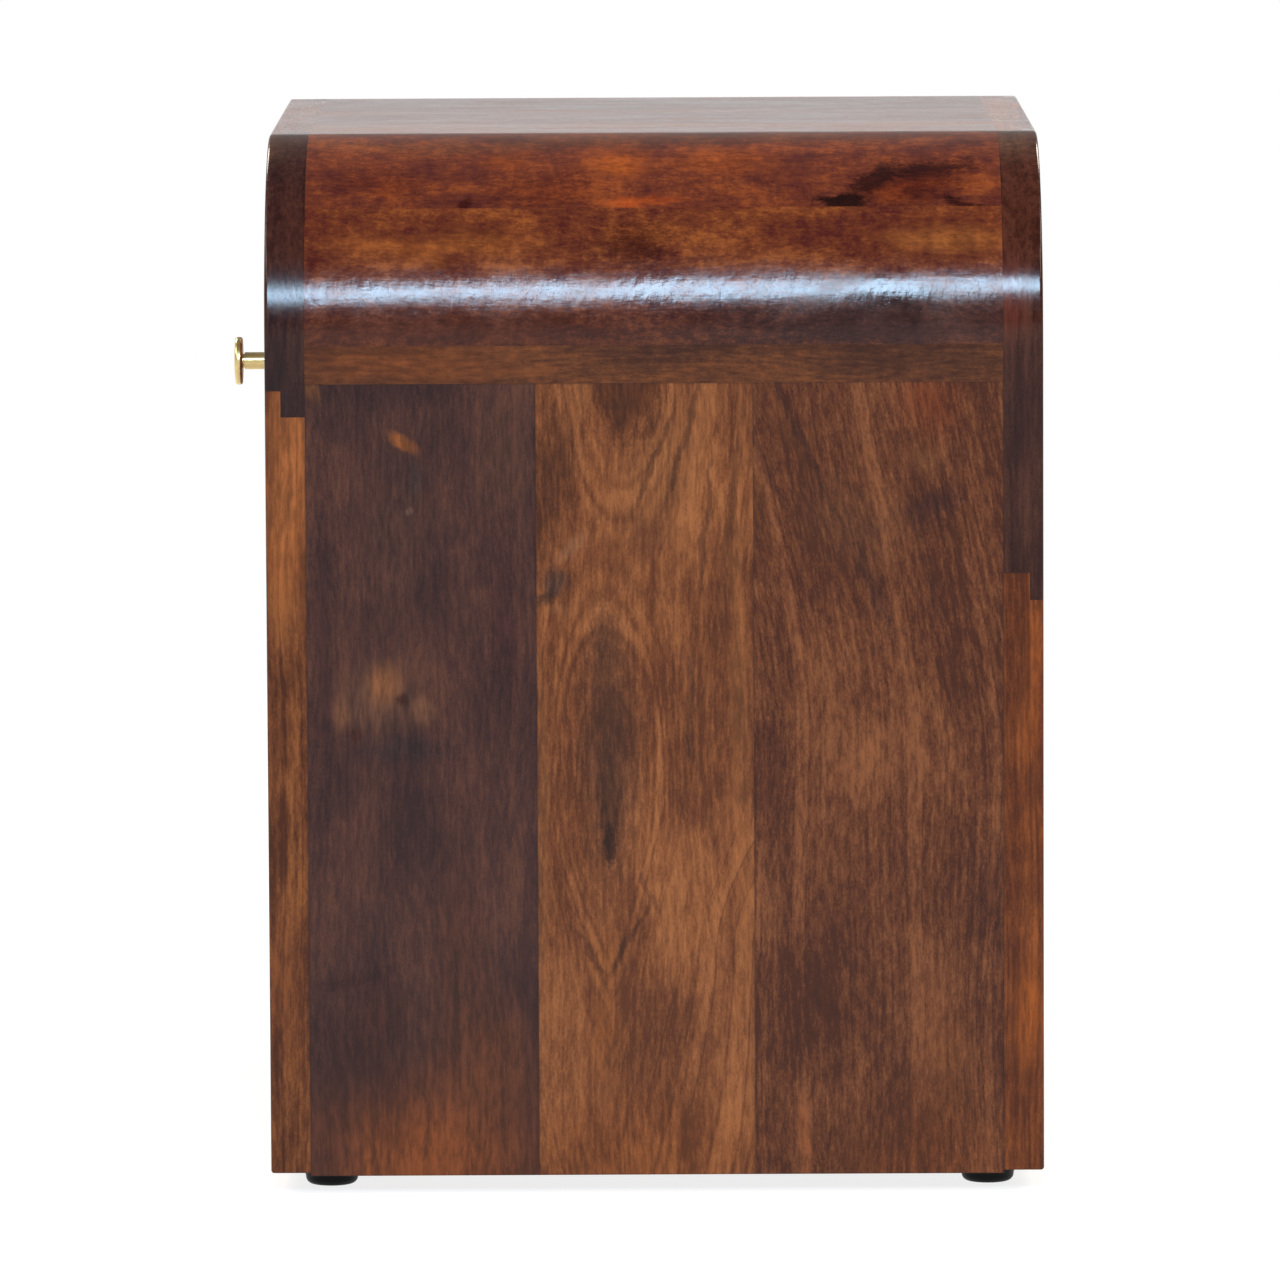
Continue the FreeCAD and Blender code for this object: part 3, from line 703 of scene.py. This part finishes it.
# Which look each wooden node has, and how far its pattern is moved from the look's own
wooden = {
    "right_side_board_front": (front_board, 0),
    "right_side_board_middle": (middle_board, 0),
    "right_side_board_rear": (rear_board, 0),
    "left_side_board_front": ({**rear_board, "patches": ()}, 40),
    "left_side_board_middle": ({**front_board, "patches": ()}, 41),
    "left_side_board_rear": (
        {**middle_board, "hearts": [{"at": (0, 110, 150), "shape": (40, 1, 4)}], "patches": ()},
        42,
    ),
    "right_shoulder_strip": (strip, 0),
    "left_shoulder_strip": ({**strip, "patches": ()}, 43),
    "right_shoulder_upper_stave": (upper_stave, 0),
    "left_shoulder_upper_stave": ({**upper_stave, "patches": ()}, 44),
    "right_shoulder_lower_stave": (lower_stave, 0),
    "left_shoulder_lower_stave": ({**lower_stave, "patches": ()}, 45),
    "top_board_left": ({**top_board, "tones": ((66, 43, 38), (87, 54, 43), (110, 67, 48))}, 0),
    "top_board_middle": (top_board, 46),
    "top_board_right": ({**top_board, "tones": ((80, 48, 39), (106, 62, 44), (134, 79, 50))}, 47),
    "front_frame_right_leg": (front_leg, 0),
    "front_frame_left_leg": (front_leg, 48),
    "front_frame_right_corner": (front_corner, 0),
    "front_frame_left_corner": (front_corner, 49),
    "back_frame_right_leg": (back_leg, 0),
    "back_frame_left_leg": (back_leg, 50),
    "back_frame_right_corner": (back_corner, 0),
    "back_frame_left_corner": (back_corner, 51),
    "front_frame_top_rail": (rail, 0),
    "front_frame_shelf_rail": (rail, 52),
    "front_frame_bottom_rail": (rail, 53),
    "back_frame_top_rail": (rail, 54),
    "back_frame_bottom_rail": (rail, 55),
    "bottom_board": (across, 56),
    "divider_shelf": (across, 57),
    "drawer_front": (across, 58),
    "back_panel": (panel, 0),
    "drawer_bottom": (panel, 59),
    "right_drawer_side": (inner, 0),
    "left_drawer_side": (inner, 60),
    "drawer_back": ({**inner, "grain": X}, 61),
    "right_drawer_runner": (inner, 62),
    "left_drawer_runner": (inner, 63),
    "drawer_stops": (inner, 64),
    "bottom_board_dowels": (pale, 0),
    "shelf_dowels": (pale, 65),
    "front_frame_dowels": (pale, 66),
    "back_frame_dowels": (pale, 67),
    "rail_dowels": (pale, 68),
}


def dress_woods():
    for node, (look, move) in wooden.items():
        moved = {**look, "shift": look["shift"] + move}
        dress(node, wood(node + "_wood", moved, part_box(node)))


def brass():
    """Polished brass with fine rings from turning and a little tarnish."""
    rings_per_metre = 3200
    bands_per_metre = 1600
    g = Surface("turned_brass")
    low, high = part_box("knob")
    centre = (low + high) / 2
    place = g.place()
    x, y, z = g.parts(g.vector("SUBTRACT", place, (centre.x, 0, centre.z)))
    radius = g.vector("LENGTH", g.joined(x, 0, z))
    rings = g.math("MULTIPLY", radius, rings_per_metre)
    turned = g.noise(g.joined(rings, g.math("MULTIPLY", y, bands_per_metre), 0), detail=1.0)
    tarnish = g.noise(place, detail=3.0, roughness=0.55, scale=120)
    specks = g.noise(place, roughness=0.6, scale=900)
    stops = [
        (0.25, linear((214, 188, 130))),
        (0.5, linear((226, 202, 144))),
        (0.75, linear((234, 213, 158))),
    ]
    dulled = g.math("MULTIPLY", g.eased(specks, 0.62, 0.72), 0.16)
    colour = g.mixed(dulled, g.ramp(tarnish, stops), linear((120, 92, 50)))
    rough = g.weighed(0.3, [(tarnish, 0.06), (turned, 0.06), (specks, 0.04)])
    relief = g.bump(turned, 0.04, 0.03)
    return g.finish(Base_Color=colour, Metallic=1.0, Roughness=rough, Normal=relief)


def steel():
    """Zinc-plated steel, slightly cloudy."""
    g = Surface("plated_steel")
    cloud = g.noise(g.place(), detail=3.0, roughness=0.6, scale=420)
    colour = g.ramp(cloud, [(0.3, linear((150, 150, 146))), (0.7, linear((196, 194, 188)))])
    rough = g.weighed(0.34, [(cloud, 0.2)])
    return g.finish(Base_Color=colour, Metallic=1.0, Roughness=rough)


def foot_plastic():
    """Black moulded plastic with a fine grain and some dust."""
    g = Surface("moulded_plastic")
    place = g.place()
    grain = g.noise(place, roughness=0.6, scale=2600)
    dust = g.noise(place, detail=3.0, roughness=0.6, scale=160)
    colour = g.ramp(dust, [(0.35, linear((11, 12, 15))), (0.75, linear((30, 31, 34)))])
    rough = g.weighed(0.5, [(dust, 0.2)])
    relief = g.bump(grain, 0.3, 0.1)
    return g.finish(Base_Color=colour, Roughness=rough, Normal=relief, IOR=1.25)


brass_nodes = ("knob",)
steel_nodes = (
    "knob_screw",
    "knob_washer",
    "foot_screws",
    "runner_screws",
    "back_panel_pins",
    "drawer_bottom_screws",
)
plastic_nodes = ("front_right_foot", "front_left_foot", "back_right_foot", "back_left_foot")


def dress_fittings():
    for nodes, make in ((brass_nodes, brass), (steel_nodes, steel), (plastic_nodes, foot_plastic)):
        material = make()
        for node in nodes:
            dress(node, material)


# The floor, the surroundings and the lamps
white = (1, 1, 1, 1)
floor_reach = 40.0
floor_fade = (0.9, 2.4)
floor_grey = 0.25
floor_glow = 0.83
sky_fade = (0.05, 0.156)
sky_grey = 0.24
daylight = 0.3


def make_floor():
    """A pale floor that takes the shadow near the object and is plain white far from it."""
    mesh = bpy.data.meshes.new("floor")
    corners = [(-1, -1), (1, -1), (1, 1), (-1, 1)]
    mesh.from_pydata([(x * floor_reach, y * floor_reach, 0) for x, y in corners], [], [(0, 1, 2, 3)])
    floor = bpy.data.objects.new("floor", mesh)
    bpy.context.scene.collection.objects.link(floor)
    g = Surface("pale_floor")
    away = g.vector("LENGTH", g.place())
    grey = g.eased(away, *floor_fade, floor_grey, 0.0)
    glow = g.math("MULTIPLY", g.eased(away, *floor_fade, floor_glow, 1.0), g.seen_rays())
    plain = {"Roughness": 1.0, "Specular_IOR_Level": 0.0, "Emission_Color": white}
    mesh.materials.append(g.finish(Base_Color=grey, Emission_Strength=glow, **plain))


def make_world():
    """A white surround up to a little above the horizon, dimmer overhead."""
    world = bpy.data.worlds.new("studio")
    bpy.context.scene.world = world
    world.use_nodes = True
    g = Graph(world.node_tree)
    sky = g.eased(g.parts(g.place("Generated"))[Z], *sky_fade, 1.0, sky_grey)
    level = g.eased(g.seen_rays(), 0.0, 1.0, daylight, 1.0)
    background = world.node_tree.nodes["Background"]
    g.put(background.inputs["Strength"], g.math("MULTIPLY", sky, level))
    g.put(background.inputs["Color"], white)


def softbox(name, place, target, size, radiance, colour, roll=0.0):
    """A flat lamp that faces its target; radiance 1 is as bright as white paper in plain light."""
    data = bpy.data.lights.new(name, "AREA")
    data.shape = "RECTANGLE"
    data.size, data.size_y = size
    data.energy = radiance * math.pi * size[0] * size[1]
    data.color = colour
    lamp = bpy.data.objects.new(name, data)
    lamp.location = place
    facing = (Vector(target) - Vector(place)).to_track_quat("-Z", "Y").to_matrix()
    lamp.rotation_euler = (facing @ Matrix.Rotation(math.radians(roll), 3, "Z")).to_euler()
    bpy.context.scene.collection.objects.link(lamp)


def make_lamps():
    """The narrow bluish window, and soft lamps at the front, the back and the four corners."""
    blue = (0.64, 0.93, 1.22)
    amber = (1.3, 1.0, 0.76)
    warm = (1.12, 1.0, 0.86)
    middle = (0, 0, 0.25)
    softbox("window", (3.2, 0.0, 1.97), (0.2, 0, 0.45), (0.95, 0.42), 50, blue, roll=28)
    for end, y in (("front", -1), ("back", 1)):
        softbox("right_" + end, (2.6, 2.3 * y, 3.0), middle, (1.4, 1.2), 7.5, amber)
        softbox("left_" + end, (-2.6, 1.9 * y, 2.8), middle, (1.4, 1.2), 13, warm)
        softbox(end, (0.2, 3.2 * y, 2.6), middle, (1.8, 1.2), 7, warm)


# The camera
camera_place = (5361.2, 15.8, 815.0)
camera_pitch = 6.132
camera_yaw = -0.125
camera_roll = -0.286
camera_lens = 305.5
camera_sensor = 36.0
camera_reach = 200.0


def make_camera():
    data = bpy.data.cameras.new("camera")
    data.sensor_width = camera_sensor
    data.lens = camera_lens
    data.clip_end = camera_reach
    camera = bpy.data.objects.new("camera", data)
    bpy.context.scene.collection.objects.link(camera)
    pitch, yaw, roll = (math.radians(angle) for angle in (camera_pitch, camera_yaw, camera_roll))
    flat = math.cos(pitch)
    forward = Vector((-flat * math.cos(yaw), flat * math.sin(yaw), -math.sin(pitch)))
    level = forward.cross(Vector((0, 0, 1))).normalized()
    upward = level.cross(forward)
    right = math.cos(roll) * level + math.sin(roll) * upward
    up = math.cos(roll) * upward - math.sin(roll) * level
    turn = Matrix((right, up, -forward)).transposed().to_4x4()
    camera.matrix_world = Matrix.Translation(metres(camera_place)) @ turn
    bpy.context.scene.camera = camera


dress_woods()
dress_fittings()
make_floor()
make_world()
make_lamps()
make_camera()
bpy.context.scene.view_settings.view_transform = "Standard"
